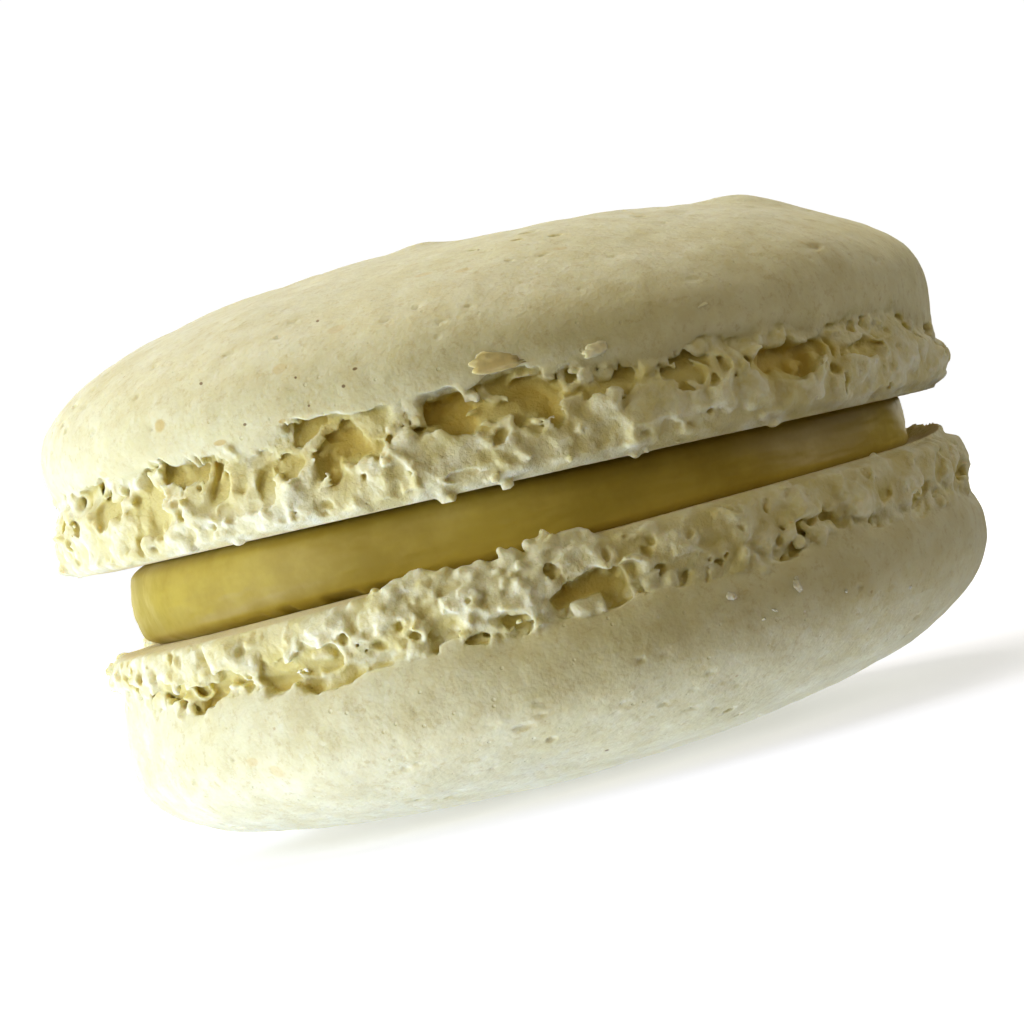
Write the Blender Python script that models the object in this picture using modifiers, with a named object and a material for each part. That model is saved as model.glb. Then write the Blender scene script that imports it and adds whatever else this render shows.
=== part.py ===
"""A French macaron: two baked almond shells and the cream between them.

The lower shell lies on its dome, on a small flat spot at z = 0, with its flat baked face up.
The cream is a disc that is thicker on the left than on the right, so the upper shell leans down
to the right. Lengths below are millimetres, turned into Blender's metres by MM. A bearing is an
angle in degrees round the vertical axis: 0 is the front (-Y), 90 the right (+X).
"""

import math
from dataclasses import dataclass

import bpy
import numpy as np

MM = 0.001

# Stack
LOWER_HEIGHT = 11.4
CREAM_HEIGHT = 3.28
LEAN = 2.3
TOUCH_GAP = 0.3
UPPER_OFFSET = (0.05, 0.1)
LOWER_OFFSET = (0.35, -0.1)
CREAM_OFFSET = (0.4, 0.0)

# Cream
CREAM_RADIUS = 19.5
CREAM_CORNER = 0.75
CREAM_BULGE = 0.55
CREAM_WAVE = 0.13
CREAM_WAVES = (7, 11)
CREAM_FULLNESS = (0.65, 0.35)

# Resolution
SHELL_COLUMNS = 104
CREAM_COLUMNS = 72
DOME_ROWS = 9
FACE_RADII = (12.0, 19.9)
FOOT_SHARES = (0.0, 0.08, 0.22, 0.38, 0.54, 0.7, 0.84, 0.95)
CREAM_SHARES = (0.0, 0.1, 0.35, 0.65, 0.9, 1.0)

# Relief
FLAT_SPOT_SINK = 0.12
FLAT_SPOT_FADE = 2.0
WALL_FADE = 2.5
FOOT_BULGE = 0.5
EDGE_ROUNDING = 0.35
EDGE_SHARE = 0.12
CREASE_DEPTH = 0.38
CREASE_SHARES = (0.72, 0.95)
RUFFLE = 0.16
RUFFLE_WAVES = (19, 27, 34)
RUFFLE_SHARE = 0.2
LIP_WAVE = 0.22
LIP_WAVES = (13, 29)
SKIN_WAVE = 0.09
SKIN_WAVE_PACE = (0.42, 0.37)
WALL_TUCK = 0.4
RIM_RAMP = (19.9, 21.6)

# How far the plan is from a circle, as shares of the radius
PLAN_OVAL = 0.006
PLAN_TRIANGLE = 0.003

# Cavities on the side away from the front, all drawn between these
BACK_START = 74.0
BACK_SPAN = 212.0
GOLDEN_SHARE = 0.618034
BACK_WIDTH = (1.6, 3.8)
BACK_TALLNESS = (0.8, 1.7)
BACK_LEVEL = (0.5, 0.78)
BACK_DEPTH = (0.6, 1.3)


@dataclass
class Shell:
    """One baked shell. Heights are measured from its flat face, towards the top of its dome."""

    dome_radius: float
    foot_radius: float
    height: float
    widest: tuple      # height of the widest ring: mean, and how much lower it is on the right
    squareness: tuple  # exponent of the dome's superellipse: mean, and its drop on the right
    lip: tuple         # height of the foot, at even bearings from the front round by the right
    hollows: tuple     # (bearing, height, width, tallness, depth) of each cavity in the foot
    lumps: tuple       # (bearing, distance from the axis, radius, rise) of each lump on the dome
    rim: tuple         # (bearing, spread, height) of each stretch where the face's rim is off level
    phase: float
    rests: bool


def back_hollows(seed, count, height):
    """Cavities for the side away from the front, a golden angle's share apart."""
    draw = np.random.default_rng(seed)
    found = []
    for i in range(count):
        bearing = BACK_START + BACK_SPAN * ((i + 0.5) * GOLDEN_SHARE % 1.0)
        width = draw.uniform(*BACK_WIDTH)
        tallness = draw.uniform(*BACK_TALLNESS)
        middle = height * draw.uniform(*BACK_LEVEL)
        found.append((bearing, middle, width, tallness, draw.uniform(*BACK_DEPTH)))
    return tuple(found)


UPPER = Shell(
    dome_radius=22.5,
    foot_radius=22.2,
    height=12.2,
    widest=(5.3, 0.0),
    squareness=(2.2, 0.1),
    lip=(4.3, 4.0, 2.6, 3.6, 4.0, 4.2, 3.8, 4.1),
    hollows=(
        (-57.0, 3.0, 2.6, 1.6, 1.0),
        (-48.0, 2.4, 2.6, 2.6, 0.9),
        (-25.5, 2.9, 1.6, 1.0, 0.7),
        (-18.0, 2.85, 3.5, 1.5, 1.2),
        (-6.0, 3.6, 3.7, 1.7, 1.5),
        (5.0, 3.3, 2.1, 1.8, 1.1),
        (15.0, 3.4, 2.0, 1.4, 0.7),
        (22.0, 3.3, 2.2, 1.1, 0.8),
        (38.0, 2.6, 4.2, 1.8, 1.6),
        (52.0, 2.5, 2.8, 0.9, 0.9),
    ) + back_hollows(11, 13, 4.0),
    lumps=(
        (-30.0, 3.4, 1.3, 0.32),
        (82.0, 14.4, 2.4, 0.6),
        (-84.0, 11.2, 2.4, 0.2),
        (-88.0, 7.4, 1.7, 0.16),
        (-93.0, 16.6, 2.2, 0.22),
        (150.0, 9.0, 4.0, 0.3),
        (25.0, 12.0, 4.5, 0.18),
    ),
    rim=((-100.0, 60.0, 0.1), (60.0, 40.0, -0.15)),
    phase=0.4,
    rests=False,
)
LOWER = Shell(
    dome_radius=22.05,
    foot_radius=21.55,
    height=LOWER_HEIGHT,
    widest=(4.95, 0.6),
    squareness=(2.42, 0.17),
    lip=(3.4, 3.1, 3.0, 3.3, 2.9, 3.2, 2.1, 3.2),
    hollows=(
        (-59.0, 2.1, 3.3, 1.2, 1.0),
        (-45.0, 2.2, 3.3, 0.8, 0.9),
        (-37.0, 2.6, 2.4, 1.2, 1.2),
        (-30.0, 2.3, 2.3, 1.0, 0.8),
        (-4.0, 2.8, 1.6, 0.8, 0.8),
        (5.0, 2.3, 3.0, 1.2, 1.0),
        (35.0, 2.2, 2.0, 0.8, 0.9),
        (59.0, 2.5, 1.6, 0.7, 0.7),
    ) + back_hollows(29, 11, 3.1),
    lumps=((86.0, 16.5, 2.6, 0.2), (-35.0, 15.0, 4.5, 0.2), (170.0, 14.0, 4.0, 0.3)),
    rim=((106.0, 30.0, -0.9), (-45.0, 38.0, 0.22)),
    phase=2.1,
    rests=True,
)


def wrapped(degrees):
    """The same angle between -180 and 180."""
    return (degrees + 180.0) % 360.0 - 180.0


def near(degrees, middle, spread):
    """1 at the middle bearing, falling smoothly to nothing over the spread."""
    return math.exp(-((wrapped(degrees - middle) / spread) ** 2))


def ramp(value, low, high):
    share = min(1.0, max(0.0, (value - low) / (high - low)))
    return share * share * (3.0 - 2.0 * share)


def round_the_rim(values, bearing):
    """A value read from a ring of evenly spaced ones, eased between neighbours."""
    place = (bearing % 360.0) / 360.0 * len(values)
    index = int(place)
    eased = ramp(place - index, 0.0, 1.0)
    return values[index % len(values)] * (1.0 - eased) + values[(index + 1) % len(values)] * eased


def lip_height(shell, bearing):
    angle = math.radians(bearing)
    slow, quick = LIP_WAVES
    wave = math.sin(slow * angle + shell.phase) + 0.6 * math.sin(quick * angle + 2.0 * shell.phase)
    return round_the_rim(shell.lip, bearing) + LIP_WAVE * wave


def widest_height(shell, bearing):
    mean, drop = shell.widest
    return mean - drop * math.sin(math.radians(bearing))


def plan_scale(shell, bearing):
    """A baked round is never quite a circle."""
    angle = math.radians(bearing)
    return 1.0 - PLAN_OVAL * math.cos(angle) ** 2 + PLAN_TRIANGLE * math.sin(3 * angle + shell.phase)


def rim_height(shell, radius, bearing):
    height = sum(most * near(bearing, middle, spread) for middle, spread, most in shell.rim)
    return height * ramp(radius, *RIM_RAMP)


def foot_point(shell, share, bearing):
    """Radius and height of the ruffled foot. The share is 0 at the flat face and 1 at the lip."""
    angle = math.radians(bearing)
    height = share * lip_height(shell, bearing)
    radius = shell.foot_radius + FOOT_BULGE * math.sin(math.pi * min(share, 0.9)) ** 0.8
    radius -= EDGE_ROUNDING * (1.0 - ramp(share, 0.0, EDGE_SHARE))
    radius -= CREASE_DEPTH * ramp(share, *CREASE_SHARES)
    first, second, third = RUFFLE_WAVES
    ruffle = (
        math.sin(first * angle + shell.phase) * math.sin(5.0 * share + 1.1)
        + math.sin(second * angle + 1.7 * shell.phase) * math.cos(7.0 * share)
        + math.sin(third * angle + 4.0 * share)
    )
    radius += RUFFLE * ruffle * ramp(share, 0.0, RUFFLE_SHARE)
    for middle, hollow_height, width, tallness, depth in shell.hollows:
        across = math.radians(wrapped(bearing - middle)) * shell.foot_radius / (0.5 * width)
        up = (height - hollow_height) / (0.5 * tallness)
        radius -= depth * math.exp(-((across * across + up * up) ** 1.5) * 0.6)
    return radius, height + rim_height(shell, radius, bearing)


def lumps_at(shell, radius, bearing):
    """How far the dome swells, by the lumps on it and a slow wave over all of it."""
    angle = math.radians(bearing)
    x = radius * math.sin(angle)
    y = -radius * math.cos(angle)
    pace_x, pace_y = SKIN_WAVE_PACE
    rise = math.sin(pace_x * x + shell.phase) * math.sin(pace_y * y + 2.0 * shell.phase)
    rise *= SKIN_WAVE
    for middle, distance, size, height in shell.lumps:
        turn = math.radians(middle)
        away = math.hypot(x - distance * math.sin(turn), y + distance * math.cos(turn))
        rise += height * math.exp(-((away / size) ** 2))
    return rise


def dome_point(shell, share, bearing):
    """Radius and height of the dome. The share is 0 at the lip and 1 at the top."""
    widest = widest_height(shell, bearing)
    lip = lip_height(shell, bearing)
    mean, drop = shell.squareness
    power = mean - drop * math.sin(math.radians(bearing))
    rise = shell.height - widest
    full_rise = rise + (FLAT_SPOT_SINK if shell.rests else 0.0)
    last = math.asin(min(1.0, rise / full_rise) ** (0.5 * power))
    wall_share = 1.0 / DOME_ROWS
    if share < wall_share:
        below = 1.0 - share / wall_share
        return shell.dome_radius - WALL_TUCK * below * below, widest - below * (widest - lip)
    turn = last * (share - wall_share) / (1.0 - wall_share)
    radius = shell.dome_radius * max(0.0, math.cos(turn)) ** (2.0 / power)
    height = widest + full_rise * math.sin(turn) ** (2.0 / power)
    if shell.rests:
        # The lumps fade out towards the flat spot, which stays in one plane.
        height += lumps_at(shell, radius, bearing) * ramp(shell.height - height, 0.0, FLAT_SPOT_FADE)
        height = min(height, shell.height)
    else:
        height += lumps_at(shell, radius, bearing) * ramp(height, widest, widest + WALL_FADE)
    return radius, height


def shell_rows(shell):
    """Every row of the profile from the flat face's centre to the dome's top: (kind, place)."""
    rows = [("face", 0.0)]
    rows += [("face", radius) for radius in FACE_RADII]
    rows += [("foot", share) for share in FOOT_SHARES]
    rows += [("dome", i / DOME_ROWS) for i in range(DOME_ROWS)]
    if shell.rests:
        rows.append(("dome", 1.0))
    rows.append(("top", 0.0))
    return rows


def shell_point(shell, row, bearing):
    """Radius and height of one point of a shell."""
    kind, place = row
    if kind == "top":
        return 0.0, shell.height + (0.0 if shell.rests else lumps_at(shell, 0.0, 0.0))
    if kind == "face":
        return place, rim_height(shell, place, bearing)
    point = foot_point if kind == "foot" else dome_point
    radius, height = point(shell, place, bearing)
    return radius * plan_scale(shell, bearing), height


def cream_point(row, bearing):
    """Radius and height of one point of the cream. Heights run up from the lower shell's face."""
    share, inside = row
    angle = math.radians(bearing)
    if inside:
        radius = 0.0
    else:
        edge = 1.0 - abs(2.0 * share - 1.0)
        mean, drop = CREAM_FULLNESS
        fullness = mean - drop * math.sin(angle)
        radius = CREAM_RADIUS - CREAM_CORNER * (1.0 - min(1.0, 3.0 * edge)) ** 2 * fullness
        radius += CREAM_BULGE * fullness * math.sin(math.pi * share)
        slow, quick = CREAM_WAVES
        radius += CREAM_WAVE * math.sin(slow * angle + 1.1)
        radius += CREAM_WAVE * math.sin(quick * angle + 2.0 * share)
    x = radius * math.sin(angle) + CREAM_OFFSET[0] - UPPER_OFFSET[0]
    top = CREAM_HEIGHT - TOUCH_GAP - x * math.tan(math.radians(LEAN))
    return radius, TOUCH_GAP + share * (top - TOUCH_GAP)


def turned(name, profile, columns):
    """A mesh turned from a profile of (radius, height) that runs from top to bottom."""
    mesh = bpy.data.meshes.new(name + "_profile")
    points = [(radius * MM, 0.0, height * MM) for radius, height in profile]
    mesh.from_pydata(points, [(i, i + 1) for i in range(len(points) - 1)], [])
    lathe = bpy.data.objects.new(name + "_profile", mesh)
    bpy.context.scene.collection.objects.link(lathe)
    screw = lathe.modifiers.new("turn", "SCREW")
    screw.steps = columns
    screw.render_steps = columns
    screw.use_merge_vertices = True
    screw.merge_threshold = 0.00001
    evaluated = lathe.evaluated_get(bpy.context.evaluated_depsgraph_get())
    made = bpy.data.meshes.new_from_object(evaluated)
    made.name = name
    bpy.data.objects.remove(lathe)
    bpy.data.meshes.remove(mesh)
    return made


def sculpted(name, rows, point_at, columns, place):
    """Turns the mean profile of the rows, then moves each vertex to its own place on its row."""
    bearings = [360.0 * i / columns for i in range(columns)]
    means = [
        tuple(np.mean([point_at(row, bearing) for bearing in bearings], axis=0)) for row in rows
    ]
    mesh = turned(name, [place(radius, height) for radius, height in means], columns)
    profile = np.array([place(radius, height) for radius, height in means])
    for vertex in mesh.vertices:
        x, y, z = vertex.co / MM
        row = rows[int(np.argmin(np.hypot(profile[:, 0] - math.hypot(x, y), profile[:, 1] - z)))]
        bearing = math.degrees(math.atan2(x, -y))
        radius, height = place(*point_at(row, bearing))
        angle = math.radians(bearing)
        vertex.co = (radius * math.sin(angle) * MM, -radius * math.cos(angle) * MM, height * MM)
    mesh.shade_smooth()
    mesh.set_sharp_from_angle(angle=math.radians(50.0))
    return mesh


def material(name, colour, roughness):
    made = bpy.data.materials.new(name)
    made.use_nodes = True
    shader = made.node_tree.nodes["Principled BSDF"]
    shader.inputs["Base Color"].default_value = (*colour, 1.0)
    shader.inputs["Roughness"].default_value = roughness
    shader.inputs["Metallic"].default_value = 0.0
    return made


def placed(name, mesh, look, location, lean, collection):
    node = bpy.data.objects.new(name, mesh)
    node.location = [value * MM for value in location]
    node.rotation_euler = (0.0, math.radians(lean), 0.0)
    mesh.materials.append(look)
    collection.objects.link(node)
    return node


def build():
    for old in list(bpy.data.objects):
        bpy.data.objects.remove(old, do_unlink=True)
    macaron = bpy.data.collections.new("macaron")
    bpy.context.scene.collection.children.link(macaron)
    crust = material("almond_shell", (0.83, 0.79, 0.55), 0.7)
    cream = material("vanilla_cream", (0.56, 0.44, 0.14), 0.45)

    # The upper shell's profile runs from the top of the dome down, the lower one's from its face.
    upper = sculpted(
        "upper_shell",
        shell_rows(UPPER)[::-1],
        lambda row, bearing: shell_point(UPPER, row, bearing),
        SHELL_COLUMNS,
        lambda radius, height: (radius, height),
    )
    lower = sculpted(
        "lower_shell",
        shell_rows(LOWER),
        lambda row, bearing: shell_point(LOWER, row, bearing),
        SHELL_COLUMNS,
        lambda radius, height: (radius, -height),
    )
    cream_rows = [(1.0, True)]
    cream_rows += [(share, False) for share in CREAM_SHARES[::-1]]
    cream_rows += [(0.0, True)]
    filling = sculpted(
        "filling",
        cream_rows,
        cream_point,
        CREAM_COLUMNS,
        lambda radius, height: (radius, height),
    )
    face = LOWER_HEIGHT
    placed("lower_shell", lower, crust, (*LOWER_OFFSET, face), 0.0, macaron)
    placed("filling", filling, cream, (*CREAM_OFFSET, face), 0.0, macaron)
    placed("upper_shell", upper, crust, (*UPPER_OFFSET, face + CREAM_HEIGHT), LEAN, macaron)


build()
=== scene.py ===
"""The looks of the French macaron: two baked shells carved from voxels, the cream, loose crumbs.

Every length is in millimetres until a mesh is made, where MM turns it into metres. Each shell is
worked out in its own frame: heights are measured from its flat baked face towards the top of its
dome. A bearing is an angle round the vertical axis: 0 is the front (-Y), 90 degrees the right (+X).
"""

import math
from dataclasses import dataclass

import bmesh
import bpy
import numpy as np
import openvdb
from mathutils import Euler, Matrix, Vector, noise


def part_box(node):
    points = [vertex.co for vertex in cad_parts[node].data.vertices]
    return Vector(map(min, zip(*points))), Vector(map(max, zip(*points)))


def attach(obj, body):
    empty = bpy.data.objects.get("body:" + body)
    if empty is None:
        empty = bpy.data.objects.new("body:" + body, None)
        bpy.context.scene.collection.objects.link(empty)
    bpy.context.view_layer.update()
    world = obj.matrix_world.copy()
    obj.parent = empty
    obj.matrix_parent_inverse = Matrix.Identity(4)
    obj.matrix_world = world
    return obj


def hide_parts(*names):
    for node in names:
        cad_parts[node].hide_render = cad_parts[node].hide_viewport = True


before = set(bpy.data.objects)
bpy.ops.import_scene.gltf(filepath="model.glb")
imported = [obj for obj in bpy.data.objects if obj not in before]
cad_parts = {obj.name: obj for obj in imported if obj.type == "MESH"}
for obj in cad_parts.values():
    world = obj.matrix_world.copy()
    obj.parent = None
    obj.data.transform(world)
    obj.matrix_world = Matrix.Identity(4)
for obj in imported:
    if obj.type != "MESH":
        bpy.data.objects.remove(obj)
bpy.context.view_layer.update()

MM = 0.001

# Stack, as in the CAD part
LOWER_HEIGHT = 11.4
CREAM_HEIGHT = 3.28
LEAN = 2.3
TOUCH_GAP = 0.3
UPPER_OFFSET = (0.05, 0.1)
LOWER_OFFSET = (0.35, -0.1)
CREAM_OFFSET = (0.4, 0.0)
FLAT_SPOT_SINK = 0.12
EDGE_ROUNDING = 0.35
CREASE_DEPTH = 0.38
SKIN_WAVE = 0.09
WALL_TUCK = 0.4
LIP_WAVE = 0.22
RIM_RAMP = (19.9, 21.6)

# Cream
CREAM_RADIUS = 19.5
CREAM_CORNER = 0.75
CREAM_BULGE = 0.55
CREAM_WAVE = 0.13

# Voxels
VOXEL = 0.11
BAND = 3.0
SHELL_TRIANGLES = 194000


@dataclass
class Shell:
    """One baked shell. Heights are measured from its flat face, towards the top of its dome."""

    dome_radius: float
    foot_radius: float
    height: float
    widest: tuple      # height of the widest ring: mean, and how much lower it is on the right
    squareness: tuple  # exponent of the dome's superellipse: mean, and its drop on the right
    lip: tuple         # height of the foot, at even bearings from the front round by the right
    hollows: tuple     # (bearing, height, width, tallness, depth) of each cavity in the foot
    lumps: tuple       # (bearing, distance from the axis, radius, rise) of each lump on the dome
    rim: tuple         # (bearing, spread, rise) of each stretch where the face's rim is off level
    phase: float
    rests: bool
    tear: tuple        # how torn the foot is, 0 to 1, at the same bearings as the lip's heights
    seed: int
    chunks: tuple      # (bearing, rise past the face, half width) of crumb that stands past its rim


def back_hollows(seed, count, height):
    """Cavities for the side away from the front, a golden angle's share apart."""
    draw = np.random.default_rng(seed)
    found = []
    for i in range(count):
        bearing = 74.0 + 212.0 * ((i + 0.5) * 0.618034 % 1.0)
        width = draw.uniform(1.6, 3.8)
        tallness = draw.uniform(0.8, 1.7)
        middle = height * draw.uniform(0.5, 0.78)
        found.append((bearing, middle, width, tallness, draw.uniform(0.6, 1.3)))
    return tuple(found)


UPPER = Shell(
    dome_radius=22.5,
    foot_radius=22.2,
    height=12.2,
    widest=(5.3, 0.0),
    squareness=(2.2, 0.1),
    lip=(4.3, 4.0, 2.6, 3.6, 4.0, 4.2, 3.8, 4.1),
    hollows=(
        (-57.0, 3.0, 2.6, 1.6, 0.7),
        (-48.0, 2.4, 2.6, 2.6, 0.65),
        (-25.5, 2.9, 1.6, 1.0, 0.7),
        (-18.0, 2.85, 3.5, 1.5, 1.2),
        (-6.0, 3.6, 3.7, 1.7, 1.5),
        (5.0, 3.3, 2.1, 1.8, 1.1),
        (15.0, 3.4, 2.0, 1.4, 0.7),
        (22.0, 3.3, 2.2, 1.1, 0.8),
        (38.0, 2.6, 4.2, 1.8, 1.6),
        (52.0, 2.5, 2.8, 0.9, 0.9),
    ) + back_hollows(11, 13, 4.0),
    lumps=(
        (-30.0, 3.4, 1.3, 0.32),
        (82.0, 14.4, 2.4, 0.6),
        (-84.0, 11.2, 2.4, 0.2),
        (-88.0, 7.4, 1.7, 0.16),
        (-93.0, 16.6, 2.2, 0.22),
        (-90.0, 2.6, 1.2, 0.14),
        (88.0, 5.4, 1.5, 0.1),
        (150.0, 9.0, 4.0, 0.3),
        (25.0, 12.0, 4.5, 0.18),
    ),
    rim=((-100.0, 60.0, 0.1), (60.0, 40.0, -0.15)),
    phase=0.4,
    rests=False,
    tear=(0.8, 0.6, 0.4, 0.6, 0.8, 0.6, 0.7, 0.85),
    seed=3,
    chunks=((-36.0, 0.08, 0.3), (-8.0, 0.08, 0.3), (160.0, 0.3, 0.9), (215.0, 0.3, 0.6)),
)
LOWER = Shell(
    dome_radius=22.05,
    foot_radius=21.55,
    height=LOWER_HEIGHT,
    widest=(4.95, 0.6),
    squareness=(2.42, 0.17),
    lip=(3.4, 3.1, 3.0, 3.3, 2.9, 3.2, 2.1, 3.2),
    hollows=(
        (-59.0, 2.1, 3.3, 1.2, 0.55),
        (-45.0, 2.2, 3.3, 0.8, 0.5),
        (-37.0, 2.6, 2.4, 1.2, 0.7),
        (-30.0, 2.3, 2.3, 1.0, 0.5),
        (-4.0, 2.8, 1.6, 0.8, 0.8),
        (5.0, 2.3, 3.0, 1.2, 1.0),
        (35.0, 2.2, 2.0, 0.8, 0.9),
        (59.0, 2.5, 1.6, 0.7, 0.7),
    ) + back_hollows(29, 11, 3.1),
    lumps=((86.0, 16.5, 2.6, 0.2), (-35.0, 15.0, 4.5, 0.2), (170.0, 14.0, 4.0, 0.3)),
    rim=((106.0, 30.0, -0.9), (-45.0, 38.0, 0.22)),
    phase=2.1,
    rests=True,
    tear=(0.35, 0.3, 0.25, 0.5, 0.7, 0.5, 0.6, 0.9),
    seed=8,
    chunks=(
        (-24.0, 0.1, 0.8),
        (-18.0, 0.3, 1.5),
        (-14.0, 0.4, 1.3),
        (-8.0, 0.15, 1.5),
        (-3.5, 0.4, 1.4),
        (0.5, 0.55, 1.7),
        (4.5, 0.25, 1.5),
        (140.0, 0.4, 1.0),
        (200.0, 0.6, 0.9),
        (208.0, 0.4, 0.7),
        (250.0, 0.3, 0.8),
    ),
)


# Outline of a shell, over arrays of angles (radians) and heights


def ramp(value, low, high):
    share = np.clip((value - low) / (high - low), 0.0, 1.0)
    return share * share * (3.0 - 2.0 * share)


def near(angle, middle_degrees, spread_degrees):
    """1 at the middle bearing, falling smoothly to nothing over the spread."""
    away = np.degrees(angle) - middle_degrees
    away = (away + 180.0) % 360.0 - 180.0
    return np.exp(-((away / spread_degrees) ** 2))


def round_the_rim(values, angle):
    """A value read from a ring of evenly spaced ones, eased between neighbours."""
    values = np.array(values)
    place = (np.degrees(angle) % 360.0) / 360.0 * len(values)
    index = np.floor(place).astype(int)
    eased = ramp(place - index, 0.0, 1.0)
    return values[index % len(values)] * (1.0 - eased) + values[(index + 1) % len(values)] * eased


def lip_height(shell, angle):
    wave = np.sin(13 * angle + shell.phase) + 0.6 * np.sin(29 * angle + 2.0 * shell.phase)
    return round_the_rim(shell.lip, angle) + LIP_WAVE * wave


def widest_height(shell, angle):
    mean, drop = shell.widest
    return mean - drop * np.sin(angle)


def power_at(shell, angle):
    mean, drop = shell.squareness
    return mean - drop * np.sin(angle)


def plan_scale(shell, angle):
    return 1.0 - 0.006 * np.cos(angle) ** 2 + 0.003 * np.sin(3 * angle + shell.phase)


def rim_rise(shell, radius, angle):
    rise = sum(height * near(angle, middle, spread) for middle, spread, height in shell.rim)
    return rise * ramp(radius, *RIM_RAMP)


def lumps_at(shell, x, y):
    rise = SKIN_WAVE * np.sin(0.42 * x + shell.phase) * np.sin(0.37 * y + 2.0 * shell.phase)
    for middle, distance, size, height in shell.lumps:
        turn = math.radians(middle)
        away = np.hypot(x - distance * math.sin(turn), y + distance * math.cos(turn))
        rise = rise + height * np.exp(-((away / size) ** 2))
    return rise


def full_rise(shell, angle):
    return shell.height - widest_height(shell, angle) + (FLAT_SPOT_SINK if shell.rests else 0.0)


def wall_radius(shell, angle, height, lip, crease=CREASE_DEPTH):
    """Radius of the foot and of the dome's wall, up to the widest ring."""
    widest = widest_height(shell, angle)
    share = np.clip(height / lip, 0.0, 1.0)
    foot = shell.foot_radius + 0.5 * np.sin(np.pi * np.minimum(share, 0.9)) ** 0.8
    foot = foot - EDGE_ROUNDING * (1.0 - ramp(share, 0.0, 0.12)) - crease * ramp(share, 0.72, 0.95)
    below = np.clip((widest - height) / (widest - lip), 0.0, 1.0)
    wall = shell.dome_radius - WALL_TUCK * below * below
    return np.where(height < lip, foot, wall) * plan_scale(shell, angle)


def envelope_radius(shell, angle, height):
    """Radius of the outline at any height."""
    widest = widest_height(shell, angle)
    power = power_at(shell, angle)
    up = np.clip((height - widest) / full_rise(shell, angle), 0.0, 1.0)
    dome = shell.dome_radius * (1.0 - up**power) ** (1.0 / power) * plan_scale(shell, angle)
    return np.where(height > widest, dome, wall_radius(shell, angle, height, lip_height(shell, angle)))


# Voxel field of a shell: negative inside


def spline_matrix(coordinates, spacing):
    """Cubic B-spline weights that spread a coarse row of values over the coordinates."""
    place = coordinates / spacing
    base = np.floor(place).astype(int)
    t = place - base
    weights = (
        (1.0 - t) ** 3 / 6.0,
        (3.0 * t**3 - 6.0 * t**2 + 4.0) / 6.0,
        (-3.0 * t**3 + 3.0 * t**2 + 3.0 * t + 1.0) / 6.0,
        t**3 / 6.0,
    )
    first = base - base.min()
    matrix = np.zeros((len(coordinates), first.max() + 4), np.float32)
    for j, weight in enumerate(weights):
        matrix[np.arange(len(coordinates)), first + j] += weight
    return matrix


def calmness(angle):
    """1 where the foot is smooth, on the right, and 0 where it is rough."""
    return near(angle, 76.0, 40.0)


def terraced(values, step):
    """Smooth values gathered into steps, with short slopes between them."""
    place = values / step
    index = np.floor(place)
    return step * (index + ramp(place - index, 0.25, 0.75))


def torn_share(shell, angle):
    """How torn the foot is along the skin's edge: 0 where the skin runs smoothly into it."""
    wave = 0.1 * np.sin(7 * angle + shell.phase) + 0.15 * np.sin(17 * angle + 2.0 * shell.phase)
    return np.clip(round_the_rim(shell.tear, angle) + wave, 0.0, 1.0)


# Spacings of the noises along x, y and height: waves and pimples of the skin, plates, crumbs and
# grains of the foot, patches that are rougher than others, soft clumps, webs between bubbles
NOISES = (
    (1.5, 1.5, 1.5),
    (0.45, 0.45, 0.45),
    (1.2, 1.2, 0.8),
    (0.42, 0.42, 0.42),
    (0.23, 0.23, 0.23),
    (1.9, 1.9, 1.5),
    (0.7, 0.7, 0.8),
    (0.6, 0.6, 0.75),
)
WAVE_SIZE = 0.03
PIMPLE_SIZE = 0.011
CLUMP_SIZE = 0.11
CRUMB_SIZE = 0.065
GRAIN_SIZE = 0.036
PLATE_SIZE = 0.5
RAGGED_SIZE = 0.1
RECESS_DEPTH = 0.5
JAG_SIZE = 0.26
JAG_COUNT = 130


class Noise:
    """Smooth random values on the voxel grid, about 1 in size, made one layer at a time."""

    def __init__(self, axes, spacings, seed):
        self.weights = [spline_matrix(axis, spacing) for axis, spacing in zip(axes, spacings)]
        shape = [matrix.shape[1] for matrix in self.weights]
        self.lattice = 3.0 * np.random.default_rng(seed).standard_normal(shape, np.float32)

    def layer(self, k):
        plane = self.lattice @ self.weights[2][k]
        return self.weights[0] @ plane @ self.weights[1].T


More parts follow.
